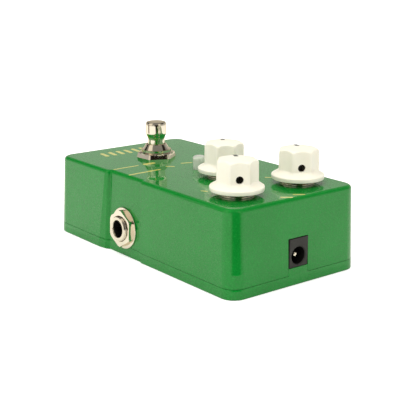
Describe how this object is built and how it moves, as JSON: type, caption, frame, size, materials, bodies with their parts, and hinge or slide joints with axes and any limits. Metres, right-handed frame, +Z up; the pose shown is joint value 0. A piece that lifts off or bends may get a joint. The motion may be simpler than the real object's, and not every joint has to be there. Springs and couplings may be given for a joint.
{
  "type": "guitar effects pedal",
  "caption": "Compact floor effects pedal: metal case with bottom cover, knobs, footswitch, lamp, side jacks and a rear power inlet.",
  "frame": {"origin": "centre of the flat underside of the bottom cover", "axes": "+X towards the input jack side, +Y towards the rear end with the power inlet, +Z up through the footswitch"},
  "size_m": [0.0654, 0.111, 0.0456],
  "materials": {
    "green_paint": "gloss metallic clear coat",
    "cream_plastic": "semi-gloss moulded",
    "chrome": "mirror plated",
    "nickel": "bright turned",
    "brass": "turned",
    "black_steel": "black oxide",
    "aluminium": "turned",
    "tinned_steel": "tin plated",
    "spring_steel": "bright wire",
    "zinc_screw": "zinc plated",
    "phenolic": "pressed laminate",
    "fibre_sheet": "matte sheet",
    "blue_plastic": "moulded",
    "gold_contact": "plated",
    "circuit_board": "solder mask",
    "clear_lens": "clear epoxy",
    "black_plastic": "moulded",
    "inlet_plastic": "moulded",
    "resistor_coat": "dipped",
    "film_red": "dipped",
    "drum_sleeve": "shrink sleeve",
    "wire_insulation": "insulation"
  },
  "bodies": {
    "case": {"enclosure_shell": "green_paint", "bottom_cover": "green_paint", "cover_screws": "zinc_screw", "insulating_sheet": "fibre_sheet", "pot_bushing_left": "nickel", "pot_bushing_right": "nickel", "pot_bushing_center": "nickel", "pot_can_left": "tinned_steel", "pot_can_right": "tinned_steel", "pot_can_center": "tinned_steel", "pot_element_left": "phenolic", "pot_element_right": "phenolic", "pot_element_center": "phenolic", "pot_terminals": "tinned_steel", "pot_washers": "nickel", "pot_nuts": "nickel", "footswitch_spring": "spring_steel", "footswitch_bushing": "nickel", "footswitch_frame": "tinned_steel", "footswitch_body": "blue_plastic", "footswitch_terminals": "gold_contact", "footswitch_lock_nut": "nickel", "footswitch_dress_nut": "chrome", "footswitch_board": "circuit_board", "lamp_lens": "clear_lens", "lamp_leads": "tinned_steel", "input_jack_body": "black_plastic", "input_jack_bushing": "nickel", "input_jack_washer": "chrome", "input_jack_nut": "chrome", "input_jack_contacts": "gold_contact", "output_jack_body": "black_plastic", "output_jack_bushing": "nickel", "output_jack_washer": "chrome", "output_jack_nut": "chrome", "output_jack_contacts": "gold_contact", "inlet_body": "inlet_plastic", "inlet_pin": "nickel", "inlet_terminals": "tinned_steel", "main_board": "circuit_board", "resistors": "resistor_coat", "film_capacitors": "film_red", "electrolytic_capacitors": "drum_sleeve", "amplifier_chips": "black_plastic", "hookup_wires": "wire_insulation"},
    "left_knob": {"knob_left": "cream_plastic", "knob_insert_left": "brass", "set_screw_left": "black_steel", "pot_shaft_left": "aluminium"},
    "right_knob": {"knob_right": "cream_plastic", "knob_insert_right": "brass", "set_screw_right": "black_steel", "pot_shaft_right": "aluminium"},
    "center_knob": {"knob_center": "cream_plastic", "knob_insert_center": "brass", "set_screw_center": "black_steel", "pot_shaft_center": "aluminium"},
    "button": {"footswitch_plunger": "chrome"}
  },
  "joints": [
    {"name": "left_knob_turn", "type": "hinge", "parent": "case", "child": "left_knob", "pos_m": [-0.0144, 0.0391, 0.0314], "axis": [0, 0, 1], "range_deg": [-296, 0]},
    {"name": "right_knob_turn", "type": "hinge", "parent": "case", "child": "right_knob", "pos_m": [0.0144, 0.0391, 0.0314], "axis": [0, 0, 1], "range_deg": [-296, 0]},
    {"name": "center_knob_turn", "type": "hinge", "parent": "case", "child": "center_knob", "pos_m": [0, 0.0143, 0.0314], "axis": [0, 0, 1], "range_deg": [-296, 0]},
    {"name": "button_press", "type": "slide", "parent": "case", "child": "button", "axis": [0, 0, -1], "range_m": [0, 0.0028], "stiffness_N_per_m": 3000, "springref_m": -0.003, "deforming": ["footswitch_spring"]}
  ]
}
